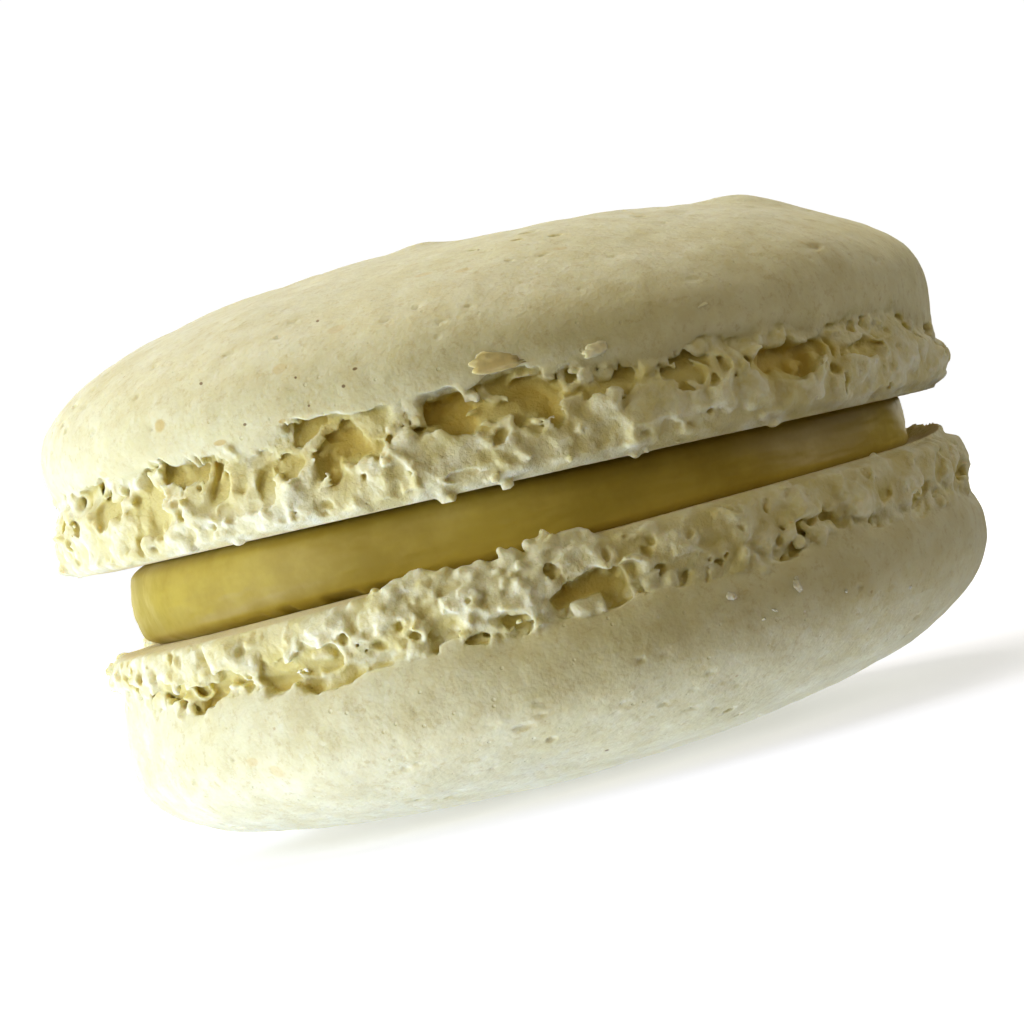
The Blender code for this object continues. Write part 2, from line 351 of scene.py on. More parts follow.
class ShellField:
    """The signed distance to a shell's surface on a grid, carved and built up in place."""

    def __init__(self, shell):
        self.shell = shell
        self.draw = np.random.default_rng(shell.seed)
        reach = shell.dome_radius + 1.1
        across = np.arange(-reach, reach, VOXEL)
        self.axes = (across, across, np.arange(-1.4, shell.height + 0.9, VOXEL))
        self.values = np.empty([len(axis) for axis in self.axes], np.float32)
        self.warp = self.tile(0.34) + 0.6 * self.tile(0.7)
        self.coat = np.empty_like(self.values)
        self.fill()

    def tile(self, spacing):
        """A block of noise that each carving stroke cuts a random piece from."""
        axes = [np.arange(0.0, 9.0, VOXEL)] * 3
        made = Noise(axes, (spacing,) * 3, self.draw.integers(1 << 30))
        return np.stack([made.layer(k) for k in range(len(axes[2]))], axis=2)

    def jags(self, angle):
        """Steps in the height of the skin's broken edge."""
        starts = np.sort(self.draw.uniform(-math.pi, math.pi, JAG_COUNT))
        steps = self.draw.normal(0.0, JAG_SIZE, JAG_COUNT)
        return steps[np.searchsorted(starts, angle) - 1]

    def holes(self, angle, height, ragged):
        """How far inside a cavity each place is, in mm, and how deep its bowl is there."""
        inside = np.full(angle.shape, -9.0)
        bowl = np.zeros(angle.shape)
        for middle, hollow_height, width, tallness, depth in self.shell.hollows:
            if abs(height - hollow_height) > tallness:
                continue
            across = np.degrees(angle) - middle
            across = np.radians((across + 180.0) % 360.0 - 180.0) * self.shell.foot_radius
            q = np.hypot(across / (0.5 * width), (height - hollow_height) / (0.5 * tallness))
            size = 0.5 * min(width, tallness)
            inside = np.maximum(inside, (1.1 - q) * size + ragged)
            bowl = np.maximum(bowl, 0.75 * depth * ramp(1.7 - q + 1.6 * ragged, 0.0, 1.3))
        return inside, bowl

    def fill(self):
        shell = self.shell
        x = self.axes[0][:, None]
        y = self.axes[1][None, :]
        radius = np.hypot(x, y)
        angle = np.arctan2(x, -y)
        lip = lip_height(shell, angle)
        widest = widest_height(shell, angle)
        power = power_at(shell, angle)
        rise = full_rise(shell, angle)
        plan = plan_scale(shell, angle)
        scaled = radius / plan
        rim = rim_rise(shell, radius, angle)
        swell = lumps_at(shell, x, y)
        torn = torn_share(shell, angle)
        calm = calmness(angle)
        makers = [Noise(self.axes, spacings, shell.seed + i) for i, spacings in enumerate(NOISES)]
        jags = self.jags(angle + 0.006 * makers[3].layer(len(self.axes[2]) // 2))
        for k, height in enumerate(self.axes[2]):
            waves, pimples, plates, crumbs, grains, patches, clumps, webs = (made.layer(k) for made in makers)
            settle = ramp(height, widest, widest + 2.5)
            if shell.rests:
                settle = settle * ramp(shell.height - height, 0.0, 2.0)
            up = np.maximum(height - swell * settle - widest, 0.0) + 1e-4
            value = (scaled / shell.dome_radius) ** power + (up / rise) ** power - 1.0
            slope = np.hypot(
                power * scaled ** (power - 1.0) / shell.dome_radius**power,
                power * up ** (power - 1.0) / rise**power,
            )
            edge = np.minimum(lip + torn * (jags + 0.1 * crumbs + 0.04 * grains), widest - 0.3)
            below = np.clip((widest - height) / (widest - lip), 0.0, 1.0)
            wall = scaled - (shell.dome_radius - WALL_TUCK * below * below)
            skin = np.where(height > widest, value / np.maximum(slope, 0.02), wall)
            skin += WAVE_SIZE * waves + PIMPLE_SIZE * pimples
            layer = skin
            self.coat[:, :, k] = height - edge
            if height < shell.widest[0] + 1.0:
                share = np.clip(height / lip, 0.0, 1.0)
                fine = (0.3 + 0.7 * ramp(patches, -0.4, 0.7)) * (1.0 - 0.2 * calm)
                level = ramp(height - rim, -0.15, 0.4)
                low = np.minimum(height, lip - 0.01)
                outer = scaled - wall_radius(shell, angle, low, lip, CREASE_DEPTH * torn) / plan + 0.1
                broken = terraced(clumps + 0.4 * crumbs + 0.15 * grains, 0.8)
                crumb = CLUMP_SIZE * broken + fine * (CRUMB_SIZE * crumbs + GRAIN_SIZE * grains)
                ragged = 0.16 * terraced(webs + 0.3 * crumbs, 0.9) + 0.06 * crumbs + 0.03 * grains
                hole, bowl = self.holes(angle, height, ragged)
                recess = RECESS_DEPTH * ramp(share, 0.3, 0.75) * (0.35 + 0.65 * torn) + 0.12
                inner = outer + np.maximum(recess, bowl) + 0.03 * clumps
                high = ramp(share, 0.35, 0.85)
                plate = PLATE_SIZE * plates + RAGGED_SIZE * crumbs + 0.05 * grains
                plate += 0.75 - (0.3 + 0.8 * torn) * high + 0.6 * calm
                web = 0.16 - 0.3 * np.abs(webs) + 0.03 * grains
                plate = np.minimum(plate, -hole)
                web = np.minimum(web, -0.05 - hole)
                crust = np.maximum(outer + crumb * level, -plate)
                thin = np.maximum(outer + 0.14 + 0.5 * crumb, -web)
                foot = np.minimum(np.minimum(crust, thin), inner)
                foot = np.maximum(foot, height - lip - 0.8)
                hole = hole * ramp(lip + 0.9 - height, 0.0, 0.3) - 0.05
                skin = np.maximum(np.maximum(skin, edge - height), hole)
                gap = np.maximum(0.12 - np.abs(skin - foot), 0.0) / 0.12
                layer = np.minimum(skin, foot) - gap * gap * 0.03
            layer = np.maximum(layer, rim - height + 0.012 * grains)
            if shell.rests:
                layer = np.maximum(layer, height - shell.height)
            self.values[:, :, k] = layer
        self.face = rim

    def read(self, block, points):
        """Values of a block of the grid at points, in mm, by linear interpolation."""
        places = [(points[:, i] - axis[0]) / VOXEL for i, axis in enumerate(self.axes)]
        places = [np.clip(place, 0.0, len(axis) - 1.001) for place, axis in zip(places, self.axes)]
        first = [place.astype(int) for place in places]
        parts = [place - low for place, low in zip(places, first)]
        total = np.zeros(len(points))
        for corner in range(8):
            steps = [corner >> i & 1 for i in range(3)]
            weight = np.prod([part if step else 1.0 - part for part, step in zip(parts, steps)], axis=0)
            total += weight * block[tuple(low + step for low, step in zip(first, steps))]
        return total

    def trim_face(self):
        """Cuts off what the strokes left below the flat face."""
        for k, height in enumerate(self.axes[2]):
            if height < 0.8:
                self.values[:, :, k] = np.maximum(self.values[:, :, k], self.face - height)

    def block(self, centre, reach):
        """The slices and local coordinates of the grid's voxels near a point."""
        slices = []
        for axis, middle, size in zip(self.axes, centre, reach):
            first = int(np.searchsorted(axis, middle - size))
            last = int(np.searchsorted(axis, middle + size))
            slices.append(slice(max(first, 0), max(last, 1)))
        spots = [axis[cut] - middle for axis, cut, middle in zip(self.axes, slices, centre)]
        return tuple(slices), spots[0][:, None, None], spots[1][None, :, None], spots[2][None, None, :]

    def ellipsoid(self, bearing, radius, height, size, ragged):
        """Distance to a ragged ellipsoid. Size is its half extents: radial, sideways, vertical."""
        sine, cosine = math.sin(bearing), math.cos(bearing)
        centre = (radius * sine, -radius * cosine, height)
        wide = max(size[0], size[1]) + 0.3
        cut, x, y, z = self.block(centre, (wide, wide, size[2] + 0.3))
        out = x * sine - y * cosine
        side = x * cosine + y * sine
        q = np.sqrt((out / size[0]) ** 2 + (side / size[1]) ** 2 + (z / size[2]) ** 2)
        if ragged:
            starts = [int(self.draw.integers(max(1, self.warp.shape[i] - q.shape[i]))) for i in range(3)]
            piece = self.warp[tuple(slice(s, s + n) for s, n in zip(starts, q.shape))]
            q = q + ragged / min(size) * piece
        return cut, (q - 1.0) * min(size)

    def add(self, bearing, radius, height, size, ragged=0.0, blend=0.1):
        cut, distance = self.ellipsoid(bearing, radius, height, size, ragged)
        old = self.values[cut]
        overlap = np.maximum(blend - np.abs(old - distance), 0.0) / blend
        self.values[cut] = np.minimum(old, distance) - overlap * overlap * blend * 0.25

    def carve(self, bearing, radius, height, size, ragged=0.0, blend=0.05):
        cut, distance = self.ellipsoid(bearing, radius, height, size, ragged)
        old = self.values[cut]
        overlap = np.maximum(blend - np.abs(old + distance), 0.0) / blend
        self.values[cut] = np.maximum(old, -distance) + overlap * overlap * blend * 0.25

    def at(self, bearing, radius, height):
        """The field's value at one place."""
        point = np.array([[radius * math.sin(bearing), -radius * math.cos(bearing), height]])
        return float(self.read(self.values, point)[0])

    def surface(self, bearing, height):
        return float(envelope_radius(self.shell, np.array(bearing), np.array(height)))


def foot_places(field, count, low, high):
    """Random bearings and heights on the foot, the heights as shares of it."""
    bearings = field.draw.uniform(-math.pi, math.pi, count)
    shares = field.draw.uniform(low, high, count)
    heights = shares * lip_height(field.shell, bearings)
    return list(zip(bearings, heights))


def crumble(field):
    """Roughens the foot's crust with lumps, half sunk in it, and with small burst bubbles."""
    draw = field.draw
    for bearing, height in foot_places(field, 200, 0.05, 0.8):
        size = 0.12 + 0.26 * draw.random() ** 2
        radius = field.surface(bearing, height) - size * draw.uniform(0.9, 1.15) - 0.1
        if draw.random() < 0.95 * calmness(bearing) or field.at(bearing, radius + 0.4 * size, height) > 0.0:
            continue
        wide = size * draw.uniform(0.8, 2.2)
        field.add(bearing, radius, height, (size, wide, size * draw.uniform(0.6, 1.3)), 0.13, 0.14)
    for bearing, height in foot_places(field, 260, 0.1, 1.0):
        size = 0.06 + 0.12 * draw.random() ** 2
        radius = field.surface(bearing, height) - draw.uniform(0.0, 0.2)
        if draw.random() < 0.6 * calmness(bearing):
            continue
        tall = size * draw.uniform(0.8, 2.2)
        field.carve(bearing, radius, height, (size, size * draw.uniform(0.6, 1.6), tall), 0.11, 0.1)


def dent_skin(field, count):
    """Shallow pores and dents in the skin of the dome."""
    draw = field.draw
    shell = field.shell
    low = shell.widest[0] - 0.5
    for _ in range(count):
        bearing = draw.uniform(-math.pi, math.pi)
        height = low + (shell.height - 0.7 - low) * draw.random() ** 0.7
        size = 0.1 + 0.14 * draw.random() ** 2
        radius = field.surface(bearing, height)
        slope = (radius - field.surface(bearing, height + 0.1)) / 0.1
        out = 0.68 * size / math.hypot(1.0, slope)
        wide = size * draw.uniform(1.0, 2.4)
        field.carve(bearing, radius + out, height + out * slope, (size, wide, size), 0.03, 0.08)


def line_holes(field):
    """Small lumps at the back of each cavity."""
    draw = field.draw
    for bearing_degrees, height, width, tallness, depth in field.shell.hollows:
        bearing = math.radians(bearing_degrees)
        rim = field.surface(bearing, height)
        for _ in range(int(width)):
            along = bearing + draw.uniform(-0.4, 0.4) * width / rim
            size = draw.uniform(0.1, 0.25)
            up = height - draw.uniform(0.1, 0.5) * tallness
            field.add(along, rim - 0.75 * depth - 0.15, up, (size, 2.0 * size, size), 0.1, 0.2)


def hang_flaps(field):
    """Shreds of skin that hang over the foot from the lip."""
    draw = field.draw
    for bearing in draw.uniform(-math.pi, math.pi, 70):
        lip = float(lip_height(field.shell, np.array(bearing)))
        drop = draw.uniform(0.2, 0.6)
        radius = field.surface(bearing, lip + 0.1) - 0.22
        if field.at(bearing, radius, lip + 0.2) > 0.0:
            continue
        field.add(bearing, radius, lip - 0.4 * drop, (0.16, draw.uniform(0.2, 0.7), drop), 0.13, 0.04)


def chip_edge(field, count):
    """Crumbs that stick out past the rim of the flat face."""
    draw = field.draw
    for bearing in draw.uniform(-math.pi, math.pi, count):
        if draw.random() < calmness(bearing):
            continue
        size = 0.05 + 0.08 * draw.random() ** 2
        radius = field.surface(bearing, 0.2) - draw.uniform(0.25, 0.5)
        field.add(bearing, radius, draw.uniform(0.0, 0.08), (size, size * 1.5, size), 0.12, 0.1)
    for bearing_degrees, rise, wide in field.shell.chunks:
        bearing = math.radians(bearing_degrees)
        radius = field.surface(bearing, 0.3) - 0.42
        field.add(bearing, radius, 0.3, (0.42, wide, rise + 0.3), 0.12, 0.15)


def shell_mesh(name, field, to_world):
    """Meshes the field, turns it into the object's frame and thins it to its share of triangles."""
    limit = BAND * VOXEL
    grid = openvdb.FloatGrid(limit)
    grid.copyFromArray(np.clip(field.values, -limit, limit).astype(np.float64))
    points, triangles, quads = grid.convertToPolygons(isovalue=0.0, adaptivity=0.0)
    starts = np.array([axis[0] for axis in field.axes])
    points = np.asarray(points, float) * VOXEL + starts
    quads = np.asarray(quads, int)
    faces = np.concatenate([np.asarray(triangles, int).reshape(-1, 3), quads[:, [0, 1, 2]], quads[:, [0, 2, 3]]])
    world = to_world(points)
    corners = world[faces]
    if np.einsum("ij,ij->i", corners[:, 0], np.cross(corners[:, 1], corners[:, 2])).sum() < 0.0:
        faces = faces[:, ::-1]
    mesh = mesh_from(name, world, faces)
    piece = bpy.data.objects.new(name, mesh)
    bpy.context.scene.collection.objects.link(piece)
    if len(faces) > SHELL_TRIANGLES:
        thin = piece.modifiers.new("thin", "DECIMATE")
        thin.ratio = SHELL_TRIANGLES / len(faces)
        evaluated = piece.evaluated_get(bpy.context.evaluated_depsgraph_get())
        piece.data = bpy.data.meshes.new_from_object(evaluated)
        piece.modifiers.clear()
        bpy.data.meshes.remove(mesh)
        piece.data.name = name
    piece.data.shade_smooth()
    print(name, len(faces), "->", len(piece.data.polygons))
    return piece


def mesh_from(name, points, faces):
    """A mesh in metres from arrays in millimetres."""
    mesh = bpy.data.meshes.new(name)
    sides = faces.shape[1]
    mesh.vertices.add(len(points))
    mesh.vertices.foreach_set("co", (points * MM).astype(np.float32).ravel())
    mesh.loops.add(faces.size)
    mesh.loops.foreach_set("vertex_index", faces.astype(np.int32).ravel())
    mesh.polygons.add(len(faces))
    mesh.polygons.foreach_set("loop_start", np.arange(0, faces.size, sides, dtype=np.int32))
    mesh.update(calc_edges=True)
    mesh.validate()
    return mesh


def coordinates(mesh):
    values = np.empty(len(mesh.vertices) * 3, np.float32)
    mesh.vertices.foreach_get("co", values)
    return values.reshape(-1, 3).astype(float) / MM


def store(mesh, name, values):
    attribute = mesh.attributes.new(name, "FLOAT", "POINT")
    attribute.data.foreach_set("value", np.asarray(values, np.float32))


def mark_surface(piece, field, to_own):
    """Writes what each point belongs to: dome skin, flat face, and how deep it lies in the foot."""
    shell = field.shell
    own = to_own(coordinates(piece.data))
    x, y, height = own[:, 0], own[:, 1], own[:, 2]
    radius = np.hypot(x, y)
    angle = np.arctan2(x, -y)
    lip = lip_height(shell, angle)
    depth = np.clip(envelope_radius(shell, angle, height) - radius, 0.0, 3.0)
    above = ramp(field.read(field.coat, own), -0.03, 0.1)
    buried = ramp(depth, 0.25, 0.45) * (1.0 - ramp(height - lip, 0.5, 1.0))
    store(piece.data, "skin", above * (1.0 - buried))
    store(piece.data, "depth", depth * (1.0 - ramp(height - lip, 0.2, 0.8)))
    normals = np.empty(len(piece.data.vertices) * 3, np.float32)
    piece.data.vertices.foreach_get("normal", normals)
    flat = to_own(normals.reshape(-1, 3)) - to_own(np.zeros((1, 3)))
    below = 1.0 - ramp(height - rim_rise(shell, radius, angle), 0.06, 0.2)
    inside = ramp(envelope_radius(shell, angle, height) - radius, 0.0, 0.2)
    store(piece.data, "face", below * ramp(-flat[:, 2], 0.8, 0.95) * inside)


def build_shell(name, shell, to_world, to_own, extras):
    field = ShellField(shell)
    crumble(field)
    line_holes(field)
    hang_flaps(field)
    extras(field)
    dent_skin(field, 260)
    field.trim_face()
    chip_edge(field, 14)
    piece = shell_mesh(name, field, to_world)
    mark_surface(piece, field, to_own)
    return piece


FACE_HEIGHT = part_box("filling")[0].z / MM - TOUCH_GAP
lean = np.array(Euler((0.0, math.radians(LEAN), 0.0)).to_matrix())


def upper_to_world(points):
    return points @ lean.T + np.array([*UPPER_OFFSET, FACE_HEIGHT + CREAM_HEIGHT])


def upper_to_own(points):
    return (points - np.array([*UPPER_OFFSET, FACE_HEIGHT + CREAM_HEIGHT])) @ lean


def lower_to_world(points):
    return points * (1.0, 1.0, -1.0) + np.array([*LOWER_OFFSET, FACE_HEIGHT])


def lower_to_own(points):
    return (points - np.array([*LOWER_OFFSET, FACE_HEIGHT])) * (1.0, 1.0, -1.0)


def upper_extras(field):
    """The crumb chip in the front cavity and the foot's rounded end at the right."""
    field.add(math.radians(-11.0), 22.2, 2.75, (0.3, 0.75, 0.5), 0.08)
    field.add(math.radians(75.0), 21.4, 1.1, (1.0, 1.2, 1.0), 0.05)


def lower_extras(field):
    """The broad shred in the middle of the front."""
    field.add(math.radians(-3.0), 21.6, 1.8, (0.6, 1.05, 0.95), 0.16)


def cream_radius(angle, share):
    fullness = 0.65 - 0.35 * np.sin(angle)
    edge = 1.0 - np.abs(2.0 * share - 1.0)
    radius = CREAM_RADIUS - CREAM_CORNER * (1.0 - np.minimum(1.0, 3.0 * edge)) ** 2 * fullness
    radius = radius + CREAM_BULGE * fullness * np.sin(np.pi * np.clip(share, 0.0, 1.0)) ** 0.7
    radius = radius + CREAM_WAVE * np.sin(7 * angle + 1.1)
    return radius + CREAM_WAVE * np.sin(11 * angle + 2.0 * share)


def make_cream():
    """The cream: a turned sheet with smears along its side, pressed a little into both shells."""
    columns = 900
    side_rows = 44
    press = 0.1
    angles = np.linspace(-np.pi, np.pi, columns, endpoint=False)
    shares = np.linspace(0.0, 1.0, side_rows)
    rings = []
    ragged = np.array([noise.noise((15.0 * math.sin(a), 15.0 * math.cos(a), 1.0)) for a in angles])
    lifted = 0.7 * near(angles, -29.0, 13.0) * ramp(ragged, -0.3, 0.1)
    slope = math.tan(math.radians(LEAN))
    for row, share in enumerate(shares):
        radius = cream_radius(angles, share)
        smear = np.array(
            [
                noise.noise((5.0 * math.sin(a), 5.0 * math.cos(a), 2.6 * share + 3.0))
                + 0.5 * noise.noise((12.0 * math.sin(a), 12.0 * math.cos(a), 8.0 * share))
                + 0.2 * noise.noise((26.0 * math.sin(a), 26.0 * math.cos(a), 17.0 * share + 8.0))
                for a in angles
            ]
        )
        radius = radius + 0.07 * smear * math.sin(math.pi * min(1.0, 0.12 + share * 0.88))
        radius = radius - lifted * (1.0 - ramp(share, 0.03, 0.16))
        x = radius * np.sin(angles)
        top = CREAM_HEIGHT - slope * (x + CREAM_OFFSET[0] - UPPER_OFFSET[0]) + press
        z = -press + share * (top + press)
        rings.append(np.stack([x, -radius * np.cos(angles), z], axis=1))
    inner = [ring * (0.6, 0.6, 1.0) for ring in (rings[0], rings[-1])]
    inner[1][:, 2] = CREAM_HEIGHT - slope * (inner[1][:, 0] + CREAM_OFFSET[0] - UPPER_OFFSET[0]) + press
    rings = [inner[0], *rings, inner[1]]
    points = np.concatenate([*rings, [[0.0, 0.0, -press], [0.0, 0.0, CREAM_HEIGHT + press]]])
    around = np.arange(columns)
    after = (around + 1) % columns
    faces = []
    for row in range(len(rings) - 1):
        low, high = row * columns, (row + 1) * columns
        faces.append(np.stack([low + around, low + after, high + after], axis=1))
        faces.append(np.stack([low + around, high + after, high + around], axis=1))
    bottom, top = len(points) - 2, len(points) - 1
    last = (len(rings) - 1) * columns
    faces.append(np.stack([after, around, np.full(columns, bottom)], axis=1))
    faces.append(np.stack([last + around, last + after, np.full(columns, top)], axis=1))
    points = points + np.array([*CREAM_OFFSET, FACE_HEIGHT])
    mesh = mesh_from("cream_layer", points, np.concatenate(faces))
    mesh.shade_smooth()
    piece = bpy.data.objects.new("cream_layer", mesh)
    bpy.context.scene.collection.objects.link(piece)
    return piece


# Flakes and crumbs that lie on the domes


def dome_spot(shell, bearing_degrees, height):
    """A point of the dome, by how far right of the middle it shows from the front, and its normal."""
    x = shell.dome_radius * math.sin(math.radians(bearing_degrees))
    angle = math.radians(bearing_degrees)
    for _ in range(3):
        radius = float(envelope_radius(shell, np.array(angle), np.array(height)))
        y = -math.sqrt(max(radius * radius - x * x, 0.01))
        angle = math.atan2(x, -y)
    step = 0.1
    higher = float(envelope_radius(shell, np.array(angle), np.array(height + step)))
    normal = Vector((x / radius, y / radius, (radius - higher) / step)).normalized()
    return Vector((x, y, height)), normal


def flake(shell, bearing, height, size, turn, sharp, seed):
    """Points and faces of one ragged chip on the dome. Size: half length, half width, thickness."""
    spot, normal = dome_spot(shell, bearing, height)
    side = Vector((0.0, 0.0, 1.0)).cross(normal).normalized()
    up = normal.cross(side)
    lean_in = math.radians(turn)
    along = side * math.cos(lean_in) + up * math.sin(lean_in)
    across = normal.cross(along)
    blob = bmesh.new()
    bmesh.ops.create_icosphere(blob, subdivisions=3, radius=1.0)
    points = []
    for vertex in blob.verts:
        p = vertex.co
        rough = 1.0 + 0.5 * noise.noise(p * 1.3 + Vector((seed, 0.0, 0.0)))
        rough += 0.25 * noise.noise(p * 3.4 + Vector((0.0, seed, 0.0)))
        taper = 1.0 - sharp * 0.5 * (p.x + 1.0)
        q = along * (p.x * size[0]) + across * (p.y * size[1] * taper) + normal * (p.z * size[2])
        points.append(spot + q * rough)
    faces = [[vertex.index for vertex in face.verts] for face in blob.faces]
    blob.free()
    return np.array([tuple(point) for point in points]), np.array(faces)


def make_crumbs(name, shell, to_world, chips):
    """One object with several chips in it."""
    points, faces, count = [], [], 0
    for seed, chip in enumerate(chips):
        spots, corners = flake(shell, *chip, seed=seed * 1.7)
        points.append(to_world(spots))
        turned = corners[:, ::-1] if shell is LOWER else corners
        faces.append(turned + count)
        count += len(spots)
    mesh = mesh_from(name, np.concatenate(points), np.concatenate(faces))
    mesh.shade_smooth()
    piece = bpy.data.objects.new(name, mesh)
    bpy.context.scene.collection.objects.link(piece)
    return piece


# (bearing, height, (half length, half width, thickness), turn, how much it tapers)
TOASTED_FLAKE = ((2.0, 5.35, (1.2, 0.6, 0.09), -6.0, 0.7),)
PALE_CHIPS = (
    (13.4, 4.95, (0.64, 0.34, 0.15), 4.0, 0.3),
    (27.5, 5.9, (0.26, 0.08, 0.06), 15.0, 0.0),
)
WHITE_CRUMBS = (
    (30.6, 4.83, (0.34, 0.22, 0.2), 60.0, 0.5),
    (30.6, 4.4, (0.12, 0.1, 0.12), 0.0, 0.0),
    (21.6, 4.39, (0.26, 0.22, 0.16), 20.0, 0.2),
    (26.6, 5.55, (0.16, 0.06, 0.08), 25.0, 0.0),
    (24.9, 5.8, (0.1, 0.07, 0.08), 0.0, 0.0),
    (37.4, 5.65, (0.1, 0.09, 0.08), 0.0, 0.0),
    (48.8, 6.38, (0.11, 0.09, 0.1), 0.0, 0.0),
)


# Materials


def rgb(red, green, blue):
    """A colour given as it looks on screen, 0 to 255, as the linear values that shaders take."""
    return (*[(value / 255.0) ** 2.2 for value in (red, green, blue)], 1.0)


class Tree:
    """Short hand for a material's nodes."""

    def __init__(self, name):
        self.material = bpy.data.materials.new(name)
        self.material.use_nodes = True
        self.nodes = self.material.node_tree.nodes
        self.shader = self.nodes["Principled BSDF"]

    def node(self, kind, **settings):
        made = self.nodes.new(kind)
        for key, value in settings.items():
            setattr(made, key, value)
        return made

    def link(self, output, entry):
        self.material.node_tree.links.new(output, entry)
        return output

    def place(self):
        return self.node("ShaderNodeTexCoord").outputs["Object"]

    def attribute(self, name):
        return self.node("ShaderNodeAttribute", attribute_name=name).outputs["Fac"]

    def noise(self, scale, detail=2.0, roughness=0.5):
        made = self.node("ShaderNodeTexNoise")
        made.inputs["Scale"].default_value = scale
        made.inputs["Detail"].default_value = detail
        made.inputs["Roughness"].default_value = roughness
        self.link(self.place(), made.inputs["Vector"])
        return made.outputs["Fac"]

    def range(self, value, low, high, to_low=0.0, to_high=1.0):
        made = self.node("ShaderNodeMapRange", interpolation_type="SMOOTHSTEP")
        self.link(value, made.inputs["Value"])
        for name, number in zip(("From Min", "From Max", "To Min", "To Max"), (low, high, to_low, to_high)):
            made.inputs[name].default_value = number
        return made.outputs["Result"]

    def math(self, operation, first, second):
        made = self.node("ShaderNodeMath", operation=operation)
        for entry, value in zip(made.inputs, (first, second)):
            if isinstance(value, (int, float)):
                entry.default_value = value
            else:
                self.link(value, entry)
        return made.outputs["Value"]

    def mix(self, factor, first, second):
        made = self.node("ShaderNodeMix", data_type="RGBA")
        for entry, value in ((made.inputs["Factor"], factor), (made.inputs[6], first), (made.inputs[7], second)):
            if isinstance(value, (int, float, tuple)):
                entry.default_value = value
            else:
                self.link(value, entry)
        return made.outputs[2]

    def specks(self, scale, size, share):
        """Round specks: a share of the cells of that scale hold one, size in cells."""
        cells = self.node("ShaderNodeTexVoronoi")
        cells.inputs["Scale"].default_value = scale
        self.link(self.place(), cells.inputs["Vector"])
        near_centre = self.range(cells.outputs["Distance"], size, 0.4 * size)
        split = self.node("ShaderNodeSeparateColor")
        self.link(cells.outputs["Color"], split.inputs["Color"])
        return self.math("MULTIPLY", near_centre, self.math("LESS_THAN", split.outputs["Red"], share))

    def mark(self, centre, size):
        """1 inside an ellipsoid round a point, in metres, with a soft edge."""
        away = self.node("ShaderNodeVectorMath", operation="SUBTRACT")
        self.link(self.place(), away.inputs[0])
        away.inputs[1].default_value = centre
        scaled = self.node("ShaderNodeVectorMath", operation="DIVIDE")
        self.link(away.outputs["Vector"], scaled.inputs[0])
        scaled.inputs[1].default_value = size
        length = self.node("ShaderNodeVectorMath", operation="LENGTH")
        self.link(scaled.outputs["Vector"], length.inputs[0])
        return self.range(length.outputs["Value"], 1.1, 0.6)

    def marks(self, spots):
        """1 inside any of the marks. Each is (shell, bearing, height, half width, half height)."""
        found = None
        for shell, bearing, height, wide, tall in spots:
            to_world = upper_to_world if shell is UPPER else lower_to_world
            point, _ = dome_spot(shell, bearing, height)
            centre = to_world(np.array([tuple(point)]))[0] * MM
            mask = self.mark(tuple(centre), (wide * MM, 0.4 * MM, tall * MM))
            found = mask if found is None else self.math("MAXIMUM", found, mask)
        return found

    def bump(self, height, distance, strength, before=None):
        made = self.node("ShaderNodeBump")
        made.inputs["Strength"].default_value = strength
        made.inputs["Distance"].default_value = distance
        self.link(height, made.inputs["Height"])
        if before is not None:
            self.link(before, made.inputs["Normal"])
        return made.outputs["Normal"]


def soften(shader, weight, radius, scale):
    shader.inputs["Subsurface Weight"].default_value = weight
    shader.inputs["Subsurface Radius"].default_value = radius
    shader.inputs["Subsurface Scale"].default_value = scale


DARK_SPECKS = (
    (UPPER, -35.0, 7.6, 0.1, 0.09),
    (UPPER, -18.1, 9.2, 0.09, 0.08),
    (UPPER, -14.7, 6.55, 0.13, 0.08),
    (UPPER, -22.1, 6.8, 0.07, 0.07),
    (UPPER, -16.5, 5.9, 0.1, 0.09),
    (UPPER, -21.2, 5.4, 0.07, 0.07),
    (UPPER, -30.0, 5.25, 0.1, 0.08),
    (UPPER, 2.5, 10.9, 0.1, 0.08),
    (LOWER, 2.1, 10.0, 0.16, 0.1),
)
BROWN_MARKS = (
    (UPPER, -42.8, 6.15, 0.42, 0.34),
    (UPPER, -34.1, 4.71, 0.42, 0.15),
    (UPPER, -25.0, 5.0, 0.2, 0.1),
)
TAN_MARKS = (
    (UPPER, -4.5, 10.3, 0.5, 0.25),
    (UPPER, 0.2, 10.0, 0.5, 0.2),
    (UPPER, -16.0, 8.6, 0.5, 0.3),
    (UPPER, -24.0, 7.4, 0.45, 0.3),
    (UPPER, 12.0, 10.0, 0.4, 0.25),
    (UPPER, -56.0, 4.6, 0.5, 0.2),
    (LOWER, -40.5, 6.9, 0.9, 0.4),
    (LOWER, -44.0, 6.2, 0.5, 0.25),
)


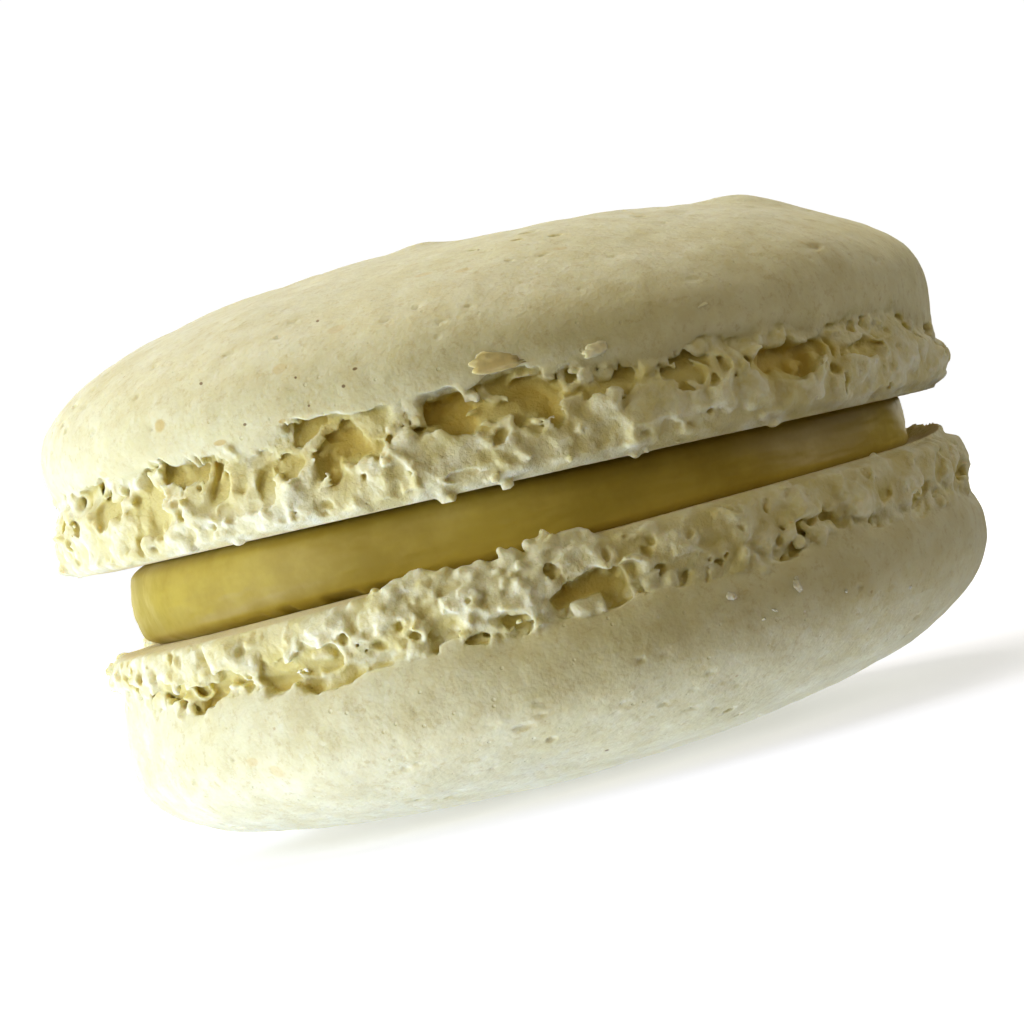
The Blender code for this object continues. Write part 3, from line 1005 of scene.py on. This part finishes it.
def shell_material():
    tree = Tree("baked_shell")
    skin = tree.attribute("skin")
    depth = tree.attribute("depth")
    face = tree.attribute("face")
    patches = tree.range(tree.noise(160.0, 3.0), 0.35, 0.7)
    mottles = tree.range(tree.noise(620.0, 4.0, 0.65), 0.35, 0.7)
    grains = tree.range(tree.noise(1500.0, 3.0, 0.6), 0.3, 0.75)
    clouds = tree.range(tree.noise(75.0, 4.0, 0.6), 0.42, 0.68)
    freckles = tree.range(tree.noise(1900.0, 4.0, 0.75), 0.5, 0.72)
    cream = tree.mix(patches, rgb(221, 216, 170), rgb(215, 208, 152))
    cream = tree.mix(tree.math("MULTIPLY", clouds, 0.45), cream, rgb(208, 203, 160))
    cream = tree.mix(tree.math("MULTIPLY", grains, 0.3), cream, rgb(229, 227, 198))
    cream = tree.mix(tree.math("MULTIPLY", mottles, 0.6), cream, rgb(205, 194, 140))
    cream = tree.mix(tree.math("MULTIPLY", freckles, 0.7), cream, rgb(196, 182, 128))
    tan_specks = tree.specks(420.0, 0.05, 0.35)
    cream = tree.mix(tree.math("MULTIPLY", tan_specks, 0.55), cream, rgb(170, 140, 88))
    cream = tree.mix(tree.math("MULTIPLY", tree.marks(TAN_MARKS), 0.4), cream, rgb(206, 180, 112))
    cream = tree.mix(tree.math("MULTIPLY", tree.marks(BROWN_MARKS), 0.7), cream, rgb(197, 170, 92))
    cream = tree.mix(tree.math("MULTIPLY", tree.marks(DARK_SPECKS), 0.85), cream, rgb(120, 92, 52))
    blotches = tree.math("MULTIPLY", tree.range(tree.noise(480.0, 4.0, 0.6), 0.45, 0.65), 0.8)
    crumb = tree.mix(grains, rgb(220, 214, 164), rgb(232, 229, 194))
    crumb = tree.mix(blotches, crumb, rgb(210, 199, 132))
    # Painted shade: the crumb turns darker and yellower the deeper it lies in the foot's dips and hollows, partly
    # the inner crumb's own yellower tone
    painted_dip_shade = tree.math("MULTIPLY", tree.range(depth, 0.05, 0.24), 0.6)
    crumb = tree.mix(painted_dip_shade, crumb, rgb(208, 195, 128))
    crumb = tree.mix(tree.range(depth, 0.22, 0.45), crumb, rgb(208, 195, 122))
    crumb = tree.mix(tree.range(depth, 0.5, 0.95), crumb, rgb(202, 181, 96))
    colour = tree.mix(skin, crumb, cream)
    baked = tree.mix(patches, rgb(222, 206, 152), rgb(208, 189, 132))
    colour = tree.mix(face, colour, baked)
    tree.link(colour, tree.shader.inputs["Base Color"])
    tree.link(tree.range(grains, 0.0, 1.0, 0.62, 0.82), tree.shader.inputs["Roughness"])
    tree.shader.inputs["Specular IOR Level"].default_value = 0.28
    soften(tree.shader, 0.7, (1.0, 0.85, 0.55), 0.0005)
    dents = tree.bump(tree.noise(900.0, 3.0, 0.6), 0.00014, 0.4)
    fine = tree.bump(tree.noise(3600.0, 3.0, 0.6), 0.00008, 0.35, dents)
    rough = tree.math("MULTIPLY", tree.noise(3600.0, 4.0, 0.7), tree.math("SUBTRACT", 1.0, skin))
    medium = tree.bump(rough, 0.00014, 0.4, fine)
    pits = tree.bump(tree.specks(1500.0, 0.16, 0.4), -0.00005, 0.6, medium)
    tree.link(pits, tree.shader.inputs["Normal"])
    return tree.material


def crumb_material(name, colour):
    tree = Tree(name)
    shade = tree.mix(tree.range(tree.noise(2600.0, 3.0), 0.35, 0.7), colour, (*[0.82 * v for v in colour[:3]], 1.0))
    tree.link(shade, tree.shader.inputs["Base Color"])
    tree.shader.inputs["Roughness"].default_value = 0.7
    tree.shader.inputs["Specular IOR Level"].default_value = 0.3
    soften(tree.shader, 0.4, (1.0, 0.75, 0.4), 0.0003)
    return tree.material


def cream_material():
    tree = Tree("vanilla_cream")
    patches = tree.range(tree.noise(220.0, 5.0, 0.65), 0.35, 0.65)
    colour = tree.mix(patches, rgb(179, 160, 70), rgb(162, 142, 54))
    tree.link(colour, tree.shader.inputs["Base Color"])
    tree.link(tree.range(patches, 0.0, 1.0, 0.38, 0.5), tree.shader.inputs["Roughness"])
    tree.shader.inputs["Specular IOR Level"].default_value = 0.25
    soften(tree.shader, 0.5, (1.0, 0.88, 0.4), 0.0008)
    tree.link(tree.bump(tree.noise(700.0, 3.0), 0.0002, 0.15), tree.shader.inputs["Normal"])
    return tree.material


# Stage

CAMERA_DISTANCE = 230.0
CAMERA_HEIGHT = 14.6
AIM = (-0.21, 0.0, 13.2)
ROLL = 15.13
LENS = 161.8


def softbox(name, bearing, distance, height, size, power, colour):
    """A rectangular lamp that faces the macaron, by its bearing round it; lengths in metres."""
    data = bpy.data.lights.new(name, "AREA")
    data.shape = "RECTANGLE"
    data.size, data.size_y = size
    data.energy = power
    data.color = colour
    lamp = bpy.data.objects.new(name, data)
    turn = math.radians(bearing)
    lamp.location = (distance * math.sin(turn), -distance * math.cos(turn), height)
    aim = Vector((0.0, 0.0, 0.013)) - lamp.location
    lamp.rotation_euler = aim.to_track_quat("-Z", "Y").to_euler()
    bpy.context.scene.collection.objects.link(lamp)


def floor_material():
    """A pale floor that glows softly, and more so further out, where the lamps don't reach; near the macaron the
    glow dims as a painted contact shadow.
    """
    tree = Tree("pale_floor")
    tree.shader.inputs["Base Color"].default_value = (0.5, 0.5, 0.5, 1.0)
    tree.shader.inputs["Roughness"].default_value = 0.9
    tree.shader.inputs["Specular IOR Level"].default_value = 0.0
    tree.shader.inputs["Emission Color"].default_value = (1.0, 1.0, 0.99, 1.0)
    length = tree.node("ShaderNodeVectorMath", operation="LENGTH")
    tree.link(tree.place(), length.inputs[0])
    glow = tree.range(length.outputs["Value"], 0.03, 0.4, FLOOR_GLOW, 1.02)
    # Painted contact shadow: the glow is dimmed towards the middle, under the macaron
    painted_contact_shadow = tree.range(length.outputs["Value"], 0.0, 0.032, CONTACT_SHADE, 1.0)
    tree.link(tree.math("MULTIPLY", glow, painted_contact_shadow), tree.shader.inputs["Emission Strength"])
    return tree.material


# The floor's glow near the macaron, and the share of it left at the middle as a painted contact shadow
FLOOR_GLOW = 0.68
CONTACT_SHADE = 0.45


# Tints of the light: daylight and the sky through a window, pale walls, a warm room, a white table
DAYLIGHT = (1.0, 0.98, 0.9)
SKY = (0.6, 0.7, 1.0)
WALLS = (1.0, 0.95, 0.95)
WARM_ROOM = (1.0, 0.8, 0.45)
WARM_WALL = (1.0, 0.95, 0.75)
TABLE = (0.85, 0.85, 1.0)

# (name, bearing, distance, height, size, watts, colour); those under the floor stand for the light
# that a white table throws up
LAMPS = (
    ("window_low", -60.0, 0.5, 0.12, (0.4, 0.22), 1.4, DAYLIGHT),
    ("window_high", -90.0, 0.5, 0.3, (0.4, 0.22), 2.0, SKY),
    ("soft_top", -150.0, 0.2, 0.5, (0.4, 0.4), 1.85, WALLS),
    ("back_low", 180.0, 0.4, 0.12, (0.5, 0.3), 0.6, WARM_WALL),
    ("right_fill", 90.0, 0.5, 0.15, (0.4, 0.4), 0.85, WALLS),
    ("front_fill", 0.0, 0.5, 0.15, (0.4, 0.4), 0.45, WARM_ROOM),
    ("under_left", -88.0, 0.3, -0.2, (0.3, 0.3), 2.3, SKY),
    ("under_middle", 0.0, 0.02, -0.4, (0.3, 0.3), 1.0, TABLE),
)


def make_world():
    """A white room that shows behind the macaron and leaves its light to the lamps."""
    world = bpy.data.worlds.new("room")
    world.use_nodes = True
    world.node_tree.nodes["Background"].inputs["Color"].default_value = (1.02, 1.02, 1.01, 1.0)
    shows = world.cycles_visibility
    shows.diffuse = False
    shows.glossy = False
    shows.transmission = False
    shows.scatter = False
    bpy.context.scene.world = world


def make_stage():
    mesh = bpy.data.meshes.new("floor")
    reach = 3.0
    corners = [(-reach, -reach, 0.0), (reach, -reach, 0.0), (reach, reach, 0.0), (-reach, reach, 0.0)]
    mesh.from_pydata(corners, [], [(0, 1, 2, 3)])
    floor = bpy.data.objects.new("floor", mesh)
    bpy.context.scene.collection.objects.link(floor)
    mesh.materials.append(floor_material())
    # The lamps under the floor shine through it, and it throws no light of its own.
    floor.visible_diffuse = False
    floor.visible_glossy = False
    floor.visible_shadow = False

    for lamp in LAMPS:
        softbox(*lamp)
    make_world()
    bpy.context.scene.view_settings.view_transform = "Standard"

    camera = bpy.data.cameras.new("camera")
    camera.lens = LENS
    camera.sensor_width = 36.0
    camera.clip_start = 0.01
    holder = bpy.data.objects.new("camera", camera)
    bpy.context.scene.collection.objects.link(holder)
    eye = Vector((AIM[0], -CAMERA_DISTANCE, CAMERA_HEIGHT)) * MM
    aim = Vector(AIM) * MM
    look = (aim - eye).to_track_quat("-Z", "Y").to_matrix()
    turn = Matrix.Rotation(math.radians(-ROLL), 3, "Z")
    holder.matrix_world = Matrix.Translation(eye) @ (look @ turn).to_4x4()
    bpy.context.scene.camera = holder


def main():
    crust = shell_material()
    upper = build_shell("upper_shell_baked", UPPER, upper_to_world, upper_to_own, upper_extras)
    lower = build_shell("lower_shell_baked", LOWER, lower_to_world, lower_to_own, lower_extras)
    cream = make_cream()
    for piece, look, node, slot in (
        (upper, crust, "upper_shell", "shell"),
        (lower, crust, "lower_shell", "shell"),
        (cream, cream_material(), "filling", "cream"),
    ):
        piece.data.materials.clear()
        piece.data.materials.append(look)
        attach(piece, "root")
        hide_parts(node)
    for name, shell, to_world, chips, colour, node in (
        ("toasted_flake", UPPER, upper_to_world, TOASTED_FLAKE, rgb(212, 192, 126), "upper_shell"),
        ("pale_chips", UPPER, upper_to_world, PALE_CHIPS, rgb(234, 224, 174), "upper_shell"),
        ("white_crumbs", LOWER, lower_to_world, WHITE_CRUMBS, rgb(222, 216, 184), "lower_shell"),
    ):
        piece = make_crumbs(name, shell, to_world, chips)
        piece.data.materials.append(crumb_material(name, colour))
        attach(piece, "root")
        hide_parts(node)
    make_stage()


main()
